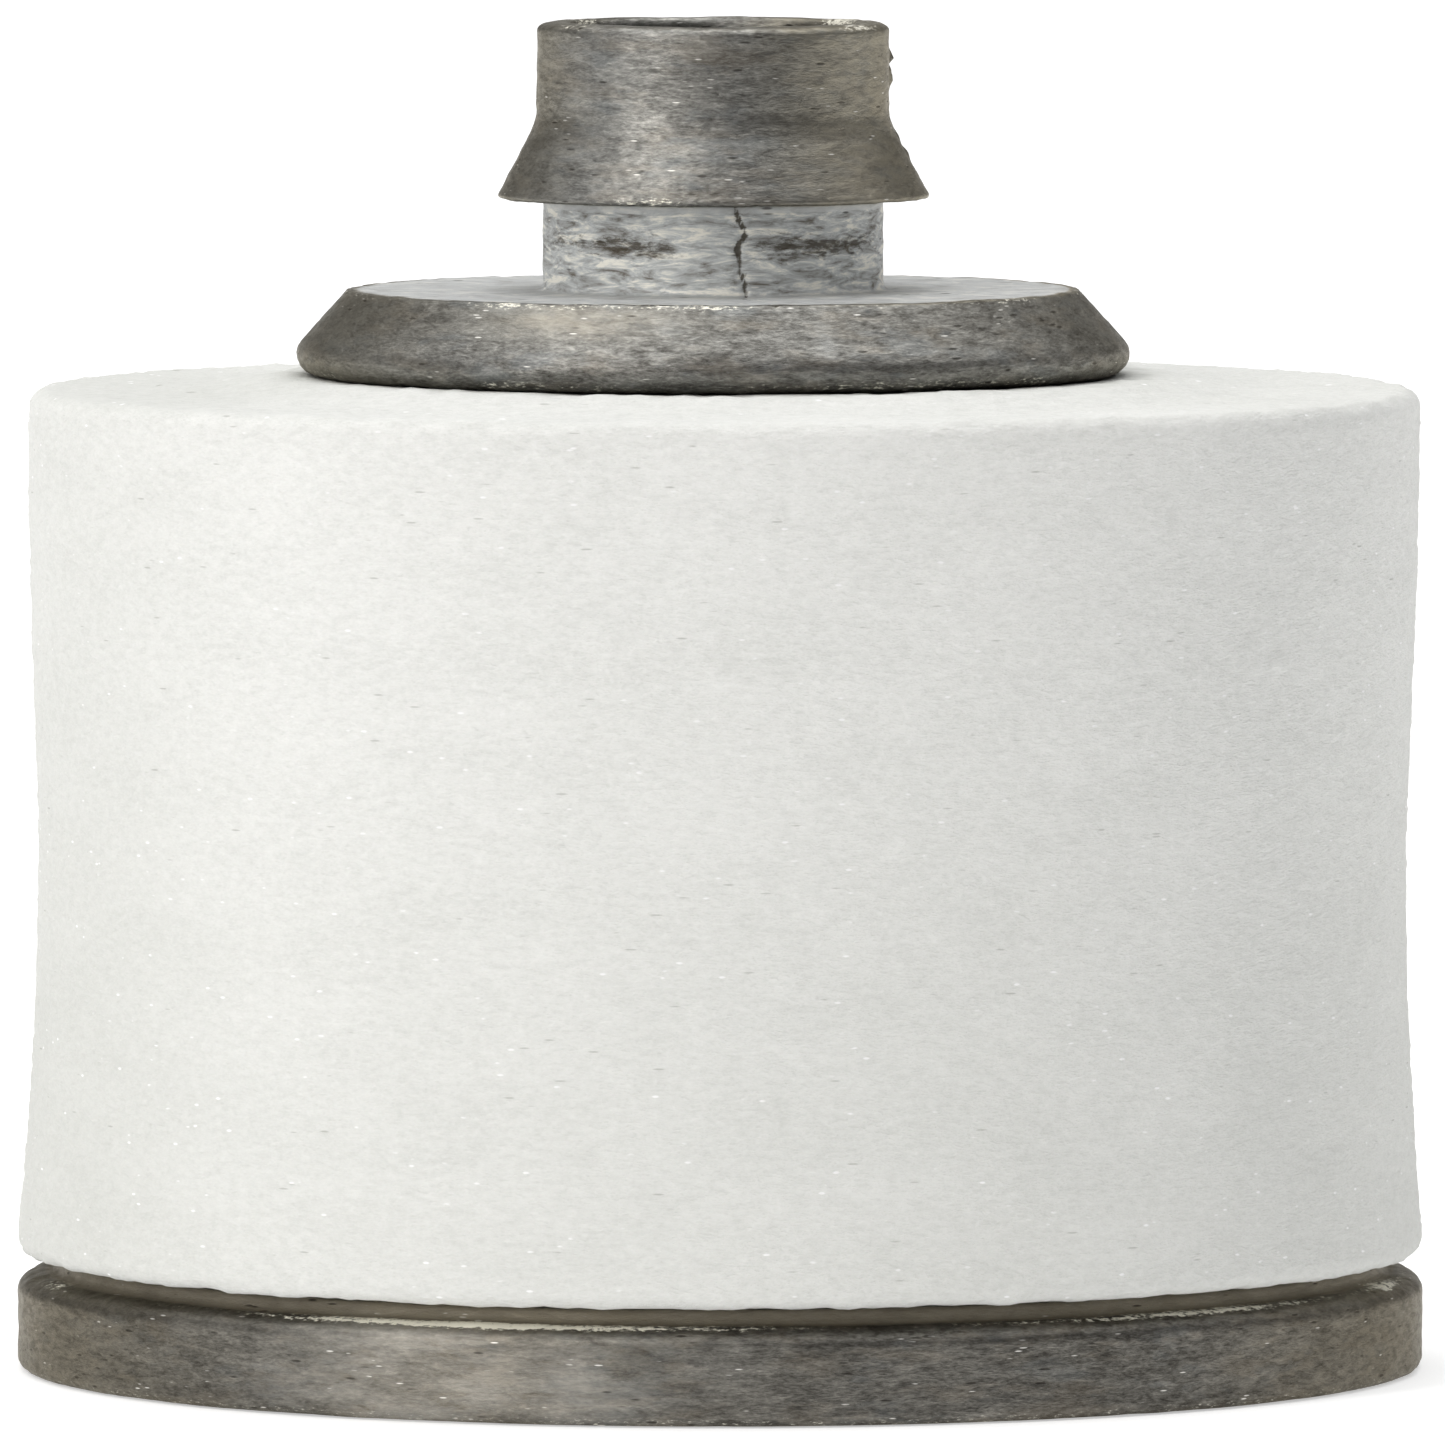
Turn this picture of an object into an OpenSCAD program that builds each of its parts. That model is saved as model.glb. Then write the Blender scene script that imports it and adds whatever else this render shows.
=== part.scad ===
// Pneumatic silencer with a hose barb.
//
// A porous sleeve is held between a die-cast head and a die-cast base disc. The head carries the hose
// barb above its flange and a hollow stem below it. Air enters the barb, leaves the stem through two
// side windows, spreads inside a perforated cage and passes out through the screen and the sleeve.
// A tie screw, driven from under the base into the foot of the stem, holds the stack together.
//
// Millimetres. +Z runs up the axis, and the origin is the centre of the base's underside.

/* [Base disc] */
// Diameter of the base disc
base_d = 24; // [18:0.5:32]
// Height of the base disc's rim
base_h = 1.65; // [1:0.05:2.2]
// Height of the base disc's rounded shoulder
shoulder_h = 0.33; // [0.1:0.01:0.5]
// Width of the base disc's rounded shoulder
shoulder_w = 0.55; // [0.1:0.05:0.65]
// Height of the raised land under the sleeve
land_h = 0.25; // [0.2:0.05:0.4]
// Width of the rim outside the raised land
rim_w = 0.7; // [0.7:0.05:2]
// Height of the centre boss above the underside
boss_h = 4; // [3.6:0.1:5]
// Diameter of the centre boss
boss_d = 8.8; // [8:0.1:8.9]

/* [Porous sleeve] */
// Height of the sleeve's wall
sleeve_h = 14.75; // [12:0.05:60]
// Rise of the sleeve's top to its seat under the flange
seat_h = 0.2; // [0.05:0.05:0.5]
// Diameter of the sleeve near its foot
sleeve_foot_d = 24.05; // [23.5:0.05:25]
// Diameter of the sleeve at its waist
sleeve_waist_d = 23.35; // [15:0.05:23.5]
// Diameter of the sleeve near its top
sleeve_top_d = 23.7; // [23.4:0.05:25]
// Diameter of the sleeve's bore
sleeve_bore_d = 10.2; // [10.1:0.05:11.4]

/* [Flange] */
// Widest diameter of the head's flange
flange_d = 14.2; // [13.6:0.1:17]
// Height of the flange
flange_h = 1.45; // [1:0.05:3]
// Slope of the flange's skirt from upright, in degrees
skirt_angle = 41; // [0:1:55]
// Radius of the flange's lower edge
flange_nose_r = 0.35; // [0.2:0.05:0.45]

/* [Hose barb] */
// Diameter of the nose that enters the hose first
nose_d = 6; // [5.9:0.05:7]
// Diameter of the neck under the barb
neck_d = 5.8; // [5.6:0.05:7.2]
// Diameter of the barb's crest
crest_d = 7.35; // [7.3:0.05:9]
// Height of the neck between flange and crest
neck_h = 1.55; // [1:0.05:4]
// Height of the cone between crest and nose
barb_h = 1.3; // [0.6:0.05:3]
// Height of the plain nose above the cone
nose_h = 1.7; // [1:0.05:4]
// Diameter of the air bore
bore_d = 4.8; // [3:0.1:5]

/* [Stem] */
// Outside diameter of the hollow stem
stem_d = 6.8; // [6.2:0.1:7.6]
// Width of each side window
window_w = 3; // [1.5:0.1:4]
// Height of each side window
window_h = 4.8; // [3:0.1:5]
// Turn of the mould's parting plane about the axis, in degrees
parting_turn = 9; // [-45:1:45]

/* [Cage and screen] */
// Outside diameter of the perforated cage
cage_d = 9.8; // [9.5:0.05:9.8]
// Wall of the perforated cage
cage_wall = 0.4; // [0.2:0.05:0.4]
// Rows of holes up the cage
cage_rows = 6; // [2:1:6]
// Holes round the cage in each row
cage_holes = 8; // [4:1:10]
// Diameter of the cage's holes
cage_hole_d = 1.8; // [0.8:0.1:1.8]
// Bars round the screen
screen_bars = 16; // [12:1:18]
// Rings up the screen
screen_rings = 10; // [6:1:12]
// Width of the screen's bars and rings
screen_wire = 0.25; // [0.1:0.05:0.3]

/* [Gaskets] */
// Thickness of the gasket in the flange's recess
head_gasket_t = 0.2; // [0.1:0.05:0.4]
// Thickness of the gasket in the base's recess
base_gasket_t = 0.15; // [0.1:0.05:0.25]
// Thickness of the seal under the stem's foot
foot_seal_t = 0.2; // [0.1:0.05:0.3]

/* [Tie screw] */
// Thread diameter of the tie screw
screw_d = 3; // [2.5:0.1:3]
// Thread pitch of the tie screw
screw_pitch = 0.5; // [0.35:0.05:0.6]
// Length of the tie screw under its head
screw_l = 8; // [6:0.5:8]
// Diameter of the tie screw's head
screw_head_d = 5.5; // [4.5:0.1:6]
// Height of the tie screw's head
screw_head_h = 1.5; // [1.2:0.1:1.6]

/* [Hidden] */
$fn = 96;

// Clearances and small edges
slip = 0.05;           // radial gap where one inner piece slides over another
thread_gap = 0.03;     // gap between the screw's thread and the thread in the stem
thread_depth = 0.25;
edge = 0.15;           // small cast edge radius
crest_edge = 0.08;     // edge radius of the barb's crest
rim_edge = 0.25;       // edge radius round the nose's mouth
mouth_chamfer = 0.2;
gasket_proud = 0.05;   // height that a gasket stands out of its recess
gasket_lip = 0.4;      // metal outside a gasket's recess
seat_slope_w = 2;      // width of the slope from the sleeve's top up to its seat
seat_margin = 0.3;     // width of the seat outside the flange
arc_steps = 6;

// Washers and the recess that holds the screw's head
washer_t = 0.3;
washer_d = 6.6;
lock_t = 0.45;
lock_d = 5.4;
recess_d = 7.2;
recess_h = 2.4;
socket_h = 0.4;        // depth of the boss's socket for the stem's foot
spigot_h = 1;          // height of the head's collar inside the cage
web = 0.6;             // metal between the screw's hole and the air bore

// Heights up the axis
land_z = base_h + land_h;
sleeve_z = land_z + gasket_proud;
base_recess_z = sleeve_z - base_gasket_t;
sleeve_top_z = sleeve_z + sleeve_h;
seat_z = sleeve_top_z + seat_h;
flange_z = seat_z + gasket_proud;
head_recess_z = seat_z + head_gasket_t;
flange_top_z = flange_z + flange_h;
crest_z = flange_top_z + neck_h;
nose_z = crest_z + barb_h;
top_z = nose_z + nose_h;
foot_z = boss_h - socket_h + foot_seal_t;
washer_z = recess_h - washer_t;
lock_z = washer_z - lock_t;
screw_tip_z = lock_z + screw_l;
hole_top_z = max(screw_tip_z, foot_z + 2) + 0.25;
bore_floor_z = hole_top_z + web;
window_z = bore_floor_z + 0.4;

// Radii used by more than one piece
spigot_r = cage_d / 2 - cage_wall - 2 * slip;
screen_inner_r = cage_d / 2 + slip / 2;
screen_outer_r = sleeve_bore_d / 2 - slip;
gasket_bore_r = sleeve_bore_d / 2 + slip;
land_r = base_d / 2 - rim_w;
seat_r = flange_d / 2 + seat_margin;
base_gasket_r = land_r - gasket_lip;
head_gasket_r = flange_d / 2 - flange_nose_r - gasket_lip;
thread_r = screw_d / 2;

// Points on an arc about a centre, from one angle to another, in degrees.
function arc(centre, r, from, to, steps = arc_steps) =
    [for (i = [0:steps]) let (a = from + (to - from) * i / steps) centre + r * [cos(a), sin(a)]];

// Radius of the sleeve's wall at a share t of its height: flared at the foot, waisted, fuller at the top.
flare_end = 0.45;
rise_start = 0.5;
rise_end = 0.95;
function sleeve_r(t) =
    sleeve_waist_d / 2
    + (t < flare_end ? (sleeve_foot_d - sleeve_waist_d) / 2 * pow(1 - t / flare_end, 2) : 0)
    + (t > rise_start
        ? (sleeve_top_d - sleeve_waist_d) / 2 * sin(90 * min(1, (t - rise_start) / (rise_end - rise_start)))
        : 0);

// Saw-tooth edge of a thread: points up the axis from z0, between a root and a crest radius.
function thread_edge(root, crest, z0, turns) =
    [for (i = [0:turns - 1], p = [[root, 0], [crest, 0.4], [crest, 0.6], [root, 1]])
        [p[0], z0 + (i + p[1]) * screw_pitch]];

module ring(outer_r, inner_r, z, h) {
    translate([0, 0, z])
        difference() {
            cylinder(r = outer_r, h = h);
            translate([0, 0, -h]) cylinder(r = inner_r, h = 3 * h);
        }
}

// Outline of the head's outside, from the nose's mouth down to the flange's underside.
function barb_outline() = concat(
    arc([nose_d / 2 - rim_edge, top_z - rim_edge], rim_edge, 90, 0),
    [[nose_d / 2, nose_z]],
    arc([crest_d / 2 - crest_edge, crest_z + crest_edge], crest_edge, 30, -90),
    [[neck_d / 2, crest_z], [neck_d / 2, flange_top_z]]
);

skirt_start = [flange_d / 2 - flange_nose_r, flange_z + flange_nose_r]
    + flange_nose_r * [cos(skirt_angle), sin(skirt_angle)];
skirt_top_r = skirt_start[0] - (flange_top_z - skirt_start[1]) * tan(skirt_angle);

function flange_outline() = concat(
    [[skirt_top_r - edge, flange_top_z],
     [skirt_top_r + edge * sin(skirt_angle) / 2, flange_top_z - edge * cos(skirt_angle) / 2]],
    arc([flange_d / 2 - flange_nose_r, flange_z + flange_nose_r], flange_nose_r, skirt_angle, -90)
);

module stem_windows() {
    rotate([0, 0, parting_turn])
        rotate([0, 90, 0])
            for (end = [0, 1])
                translate([-window_z - window_w / 2 - end * (window_h - window_w), 0, -stem_d])
                    cylinder(d = window_w, h = 2 * stem_d);
    rotate([0, 0, parting_turn])
        translate([-stem_d, -window_w / 2, window_z + window_w / 2])
            cube([2 * stem_d, window_w, window_h - window_w]);
}

module barbed_head() {
    turns = floor((hole_top_z - foot_z - 0.2) / screw_pitch);
    color([0.42, 0.42, 0.4])
        difference() {
            rotate_extrude()
                polygon(concat(
                    [[bore_d / 2 + mouth_chamfer, top_z]],
                    barb_outline(),
                    flange_outline(),
                    [[head_gasket_r + slip, flange_z], [head_gasket_r + slip, head_recess_z],
                     [spigot_r, head_recess_z], [spigot_r, flange_z - spigot_h],
                     [stem_d / 2, flange_z - spigot_h], [stem_d / 2, foot_z],
                     [thread_r + thread_gap, foot_z]],
                    thread_edge(thread_r - thread_depth + thread_gap, thread_r + thread_gap, foot_z, turns),
                    [[thread_r - thread_depth + thread_gap, hole_top_z], [0, hole_top_z],
                     [0, bore_floor_z], [bore_d / 2, bore_floor_z],
                     [bore_d / 2, top_z - mouth_chamfer]]
                ));
            stem_windows();
        }
}

module porous_sleeve() {
    foot_fillet = 0.4;
    top_fillet = 0.3;
    wall_steps = 16;
    first = foot_fillet / sleeve_h;
    last = 1 - top_fillet / sleeve_h;
    color([0.93, 0.93, 0.92])
        rotate_extrude()
            polygon(concat(
                [[sleeve_bore_d / 2, sleeve_z]],
                arc([sleeve_r(first) - foot_fillet, sleeve_z + foot_fillet], foot_fillet, -90, 0),
                [for (i = [1:wall_steps - 1])
                    let (t = first + (last - first) * i / wall_steps)
                        [sleeve_r(t), sleeve_z + t * sleeve_h]],
                arc([sleeve_r(last) - top_fillet, sleeve_top_z - top_fillet], top_fillet, 0, 90),
                [[seat_r + seat_slope_w, sleeve_top_z], [seat_r, seat_z], [sleeve_bore_d / 2, seat_z]]
            ));
}

module base_disc() {
    color([0.4, 0.4, 0.38])
        rotate_extrude()
            polygon(concat(
                [[recess_d / 2, 0]],
                arc([base_d / 2 - edge, edge], edge, -90, 0),
                [for (i = [0:2 * arc_steps]) let (a = 90 * i / (2 * arc_steps))
                    [base_d / 2 - shoulder_w * (1 - cos(a)), base_h - shoulder_h * (1 - sin(a))]],
                [[land_r, base_h], [land_r, land_z], [base_gasket_r + slip, land_z],
                 [base_gasket_r + slip, base_recess_z], [boss_d / 2, base_recess_z],
                 [boss_d / 2, boss_h - edge], [boss_d / 2 - edge, boss_h],
                 [stem_d / 2 + slip, boss_h], [stem_d / 2 + slip, boss_h - socket_h],
                 [thread_r + 2 * slip, boss_h - socket_h], [thread_r + 2 * slip, recess_h],
                 [recess_d / 2, recess_h]]
            ));
}

module head_gasket() {
    color([0.2, 0.2, 0.19]) ring(head_gasket_r, gasket_bore_r, seat_z, head_gasket_t);
}

module base_gasket() {
    color([0.2, 0.2, 0.19]) ring(base_gasket_r, gasket_bore_r, base_recess_z, base_gasket_t);
}

module foot_seal() {
    color([0.55, 0.2, 0.15])
        ring(stem_d / 2 - slip, thread_r + slip, boss_h - socket_h, foot_seal_t);
}

module support_cage() {
    cage_h = head_recess_z - slip - base_recess_z;
    pitch = cage_h / (cage_rows + 1);
    color([0.72, 0.73, 0.74])
        difference() {
            ring(cage_d / 2, cage_d / 2 - cage_wall, base_recess_z, cage_h);
            for (row = [1:cage_rows], i = [0:cage_holes - 1])
                rotate([0, 0, (i + row % 2 / 2) * 360 / cage_holes])
                    translate([0, 0, base_recess_z + row * pitch])
                        rotate([0, 90, 0])
                            cylinder(d = cage_hole_d, h = cage_d);
        }
}

module mesh_screen() {
    screen_h = seat_z - sleeve_z - 2 * slip;
    cell_h = (screen_h - screen_wire) / (screen_rings - 1);
    cell_a = 360 / screen_bars;
    cell_w = 2 * screen_outer_r * sin(cell_a / 2) - screen_wire;
    color([0.8, 0.78, 0.7])
        difference() {
            ring(screen_outer_r, screen_inner_r, sleeve_z + slip, screen_h);
            for (level = [0:screen_rings - 2], i = [0:screen_bars - 1])
                rotate([0, 0, i * cell_a])
                    translate([cage_d / 4, -cell_w / 2, sleeve_z + slip + screen_wire + level * cell_h])
                        cube([cage_d / 2, cell_w, cell_h - screen_wire]);
        }
}

// Cross recess in the screw's head, open downwards.
module cross_recess() {
    arm_w = 0.8;
    arm_l = 0.58 * screw_head_d;
    depth = 0.6 * screw_head_h;
    for (turn = [0, 90])
        rotate([0, 0, turn])
            translate([-arm_l / 2, -arm_w / 2, lock_z - screw_head_h - depth])
                cube([arm_l, arm_w, 2 * depth]);
}

module tie_screw() {
    head_edge = 0.5;
    head_z = lock_z - screw_head_h;
    plain = 0.45 * screw_l;
    turns = floor((screw_l - plain) / screw_pitch);
    root = thread_r - thread_depth;
    color([0.75, 0.75, 0.72])
        difference() {
            rotate_extrude()
                polygon(concat(
                    [[0, head_z]],
                    arc([screw_head_d / 2 - head_edge, head_z + head_edge], head_edge, -90, 0),
                    [[screw_head_d / 2, lock_z], [root, lock_z], [root, lock_z + plain]],
                    thread_edge(root, thread_r, lock_z + plain, turns),
                    [[root, screw_tip_z], [0, screw_tip_z]]
                ));
            cross_recess();
        }
}

module lock_washer() {
    gap = 0.35;
    color([0.6, 0.6, 0.58])
        difference() {
            ring(lock_d / 2, thread_r + 2 * slip, lock_z, lock_t);
            translate([0, 0, lock_z + lock_t / 2])
                rotate([20, 0, 0])
                    translate([0, -gap / 2, -lock_t * 2]) cube([lock_d, gap, lock_t * 4]);
        }
}

module flat_washer() {
    color([0.75, 0.75, 0.72]) ring(washer_d / 2, thread_r + 2 * slip, washer_z, washer_t);
}

barbed_head();
porous_sleeve();
base_disc();
head_gasket();
base_gasket();
foot_seal();
support_cage();
mesh_screen();
tie_screw();
lock_washer();
flat_washer();
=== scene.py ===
"""A barbed porous silencer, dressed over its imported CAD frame.

The two zinc castings and the porous sleeve are built here as dense turned meshes with cast and
granular surfaces. The seals and the hardware inside keep their CAD shapes and get their finishes here.
Lengths in the tables below are millimetres.
"""
import math

import bpy
import numpy as np
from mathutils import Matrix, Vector


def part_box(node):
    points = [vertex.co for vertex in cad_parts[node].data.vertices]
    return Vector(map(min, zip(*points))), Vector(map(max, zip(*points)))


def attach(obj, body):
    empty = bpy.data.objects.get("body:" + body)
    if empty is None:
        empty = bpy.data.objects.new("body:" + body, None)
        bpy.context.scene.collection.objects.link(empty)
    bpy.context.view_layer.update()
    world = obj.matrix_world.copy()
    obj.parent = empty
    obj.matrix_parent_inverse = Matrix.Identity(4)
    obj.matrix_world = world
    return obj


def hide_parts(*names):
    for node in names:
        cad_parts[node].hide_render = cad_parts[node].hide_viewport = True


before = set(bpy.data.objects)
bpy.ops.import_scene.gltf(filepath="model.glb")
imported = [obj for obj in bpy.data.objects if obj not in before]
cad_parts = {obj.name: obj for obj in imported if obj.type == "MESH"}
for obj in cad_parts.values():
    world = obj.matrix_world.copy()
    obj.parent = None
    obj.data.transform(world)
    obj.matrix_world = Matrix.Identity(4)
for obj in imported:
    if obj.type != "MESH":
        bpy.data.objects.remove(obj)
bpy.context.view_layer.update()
MM = 0.001

# ---------------------------------------------------------------- places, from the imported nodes


def span(node):
    """Lowest and highest z of a CAD node, and its radius, in mm."""
    lo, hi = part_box(node)
    return lo.z / MM, hi.z / MM, (hi.x - lo.x) / 2 / MM


STEM_FOOT_Z, HEAD_Z1, FLANGE_R = span("barbed_head")
SLEEVE_Z0, SLEEVE_Z1, SLEEVE_R = span("porous_sleeve")
_, DISC_BOSS_Z, DISC_R = span("base_disc")
DISC_RECESS_Z = span("base_gasket")[0]
HEAD_RECESS_Z = span("head_gasket")[1]
GASKET_PROUD, LAND_H, RIM_W = 0.05, 0.25, 0.7
FLANGE_Z = SLEEVE_Z1 + GASKET_PROUD
LAND_Z = SLEEVE_Z0 - GASKET_PROUD
RIM_Z = LAND_Z - LAND_H
LAND_R = DISC_R - RIM_W
SLEEVE_BORE_R, SLEEVE_WAIST_R, SLEEVE_TOP_R = 5.1, 11.675, 11.85
SEAT_R, SEAT_SLOPE_W, SEAT_H = 7.4, 2.0, 0.2
SLEEVE_TOP_Z = SLEEVE_Z1 - SEAT_H

NECK_H, BARB_H, NOSE_H = 1.55, 1.3, 1.7
NOSE_Z = HEAD_Z1 - NOSE_H
CREST_Z = NOSE_Z - BARB_H
FLANGE_TOP_Z = CREST_Z - NECK_H
NOSE_R, NECK_R, CREST_R, BORE_R = 3.0, 2.9, 3.675, 2.4
STEM_R, SPIGOT_R, RECESS_R = 3.4, 4.4, 6.4
BORE_FLOOR_Z, SCREW_HOLE_R, SCREW_HOLE_Z = 10.5, 1.53, 9.9
WINDOW_Z0, WINDOW_Z1, WINDOW_W = 10.9, 15.7, 3.0
FRONT = -math.pi / 2
SEAM_TURN = math.radians(9.4)      # the mould's parting line, from the front towards +X
SEAM_ANGLE = SEAM_TURN + FRONT

# how finely each piece is turned: columns round the axis
HEAD_COLUMNS, SLEEVE_COLUMNS, DISC_COLUMNS = 440, 372, 620

# light: strengths of the floor's glow and of the room, by where a ray goes
TABLE_GLOW = 0.46
GLOW_EDGE_Y, GLOW_FAR = (-45, -15.2), (500, 1500)     # mm: it rises over these, by y or by distance
ROOM_LIGHT, ROOM_DARK, BACK_LIGHT, TOP_LIGHT, HORIZON_LIGHT = 0.27, 0.06, 0.36, 1.12, 1.0
TOP_SHADED, HORIZON_DARK = 0.72, 0.5
DARK_WAY = (0.42, -0.87, 0.25)     # behind the camera, to the right and a little up

# ---------------------------------------------------------------- noise


def lattice(ix, iy, iz, seed):
    """A fixed random number from -1 to 1 at each whole-number lattice point."""
    h = (ix * 374761393 + iy * 668265263 + iz * 2246822519 + seed * 3266489917) & 0xFFFFFFFF
    h = ((h ^ (h >> 13)) * 1274126177) & 0xFFFFFFFF
    h = ((h ^ (h >> 16)) * 2246822519) & 0xFFFFFFFF
    return ((h >> 8) & 0xFFFF) / 32767.5 - 1


def noise(points, cell, seed):
    """Smooth noise from -1 to 1 at points in mm, with blobs about one cell across."""
    q = points / np.asarray(cell, float)
    base = np.floor(q).astype(np.int64)
    f = q - base
    f = f * f * (3 - 2 * f)
    total = np.zeros(len(points))
    for corner in range(8):
        step = np.array([corner & 1, corner >> 1 & 1, corner >> 2])
        weight = np.prod(np.where(step, f, 1 - f), axis=1)
        at = base + step
        total += weight * lattice(at[:, 0], at[:, 1], at[:, 2], seed)
    return total


def layered(points, *layers):
    """The sum of several noises, each (height, cell, seed)."""
    return sum(height * noise(points, cell, seed) for height, cell, seed in layers)


def smooth(x, a, b):
    """0 below a, 1 above b, smooth between."""
    t = np.clip((x - a) / (b - a), 0, 1)
    return t * t * (3 - 2 * t)


def bell(x, centre, width):
    """1 at centre, fading away over width on both sides."""
    return np.exp(-((x - centre) / width) ** 2)


def turn_from(angle, centre):
    """Signed angle from centre, wrapped to -pi..pi."""
    return (angle - centre + math.pi) % (2 * math.pi) - math.pi


def facing(angle, turn, width):
    """1 at turn radians from the front towards +X, fading away over width."""
    return bell(turn_from(angle, FRONT + turn), 0, width)


# ---------------------------------------------------------------- turned meshes


def arc(cr, cz, radius, start, end, steps):
    """Points from start to end, in degrees, round the centre (cr, cz)."""
    angles = np.radians(np.linspace(start, end, steps + 1))
    return [(cr + radius * math.cos(a), cz + radius * math.sin(a)) for a in angles]


def subdivide(points, step):
    """Points along a run, no further apart than step."""
    out = [points[0]]
    for a, b in zip(points, points[1:]):
        n = max(1, math.ceil(math.dist(a, b) / step))
        out += [(a[0] + (b[0] - a[0]) * i / n, a[1] + (b[1] - a[1]) * i / n) for i in range(1, n + 1)]
    return out


def runs(*parts):
    """One profile from (points, step) runs that follow on from one another."""
    out = []
    for points, step in parts:
        joined = ([out[-1]] if out else []) + list(points)
        joined = joined[:1] + [b for a, b in zip(joined, joined[1:]) if math.dist(a, b) > 1e-4]
        new = subdivide(joined, step)
        out += new[1:] if out else new
    return out


def turned(name, profile, columns, shape, loop):
    """A turned mesh. profile is (r, z) in mm with its solid on the left.

    shape gives how far each point moves along its normal, and its four finish masks.
    A loop closes on itself round a bore; otherwise both ends lie on the axis.
    """
    rz = np.array(profile, float)
    if loop:
        before, after = np.roll(rz, 1, 0), np.roll(rz, -1, 0)
    else:
        before, after = np.vstack([rz[:1], rz[:-1]]), np.vstack([rz[1:], rz[-1:]])
    along = after - before
    along /= np.maximum(np.linalg.norm(along, axis=1, keepdims=True), 1e-9)
    normal = np.stack([along[:, 1], -along[:, 0]], 1)
    angle = np.linspace(0, 2 * math.pi, columns, endpoint=False)
    rows = len(rz)
    a = np.tile(angle, rows)
    r = np.repeat(rz[:, 0], columns)
    z = np.repeat(rz[:, 1], columns)
    nr = np.repeat(normal[:, 0], columns)
    nz = np.repeat(normal[:, 1], columns)
    points = np.stack([r * np.cos(a), r * np.sin(a), z], 1)
    push, finish = shape(points, a, r, z, nr, nz)
    points[:, 0] += push * nr * np.cos(a)
    points[:, 1] += push * nr * np.sin(a)
    points[:, 2] += push * nz
    index = np.arange(rows * columns).reshape(rows, columns)
    if loop:
        low, high = index, np.roll(index, -1, 0)
    else:
        low, high = index[1:-2], index[2:-1]
    quads = np.stack([low, np.roll(low, -1, 1), np.roll(high, -1, 1), high], -1).reshape(-1, 4)
    faces = quads.tolist()
    keep = np.ones(len(points), bool)
    if not loop:
        for pole, ring, flip in ((0, 1, True), (rows - 1, rows - 2, False)):
            tip = index[pole, 0]
            keep[index[pole, 1:]] = False
            for i in range(columns):
                p, q = index[ring, i], index[ring, (i + 1) % columns]
                faces.append([tip, q, p] if flip else [tip, p, q])
    renumber = np.cumsum(keep) - 1
    faces = [[int(renumber[i]) for i in f] for f in faces]
    mesh = bpy.data.meshes.new(name)
    mesh.from_pydata((points[keep] * MM).tolist(), [], faces)
    mesh.validate()
    mesh.shade_smooth()
    layer = mesh.color_attributes.new("finish", "FLOAT_COLOR", "POINT")
    layer.data.foreach_set("color", finish[keep].astype(np.float32).ravel())
    piece = bpy.data.objects.new(name, mesh)
    bpy.context.scene.collection.objects.link(piece)
    return piece


# ---------------------------------------------------------------- node helper


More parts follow.
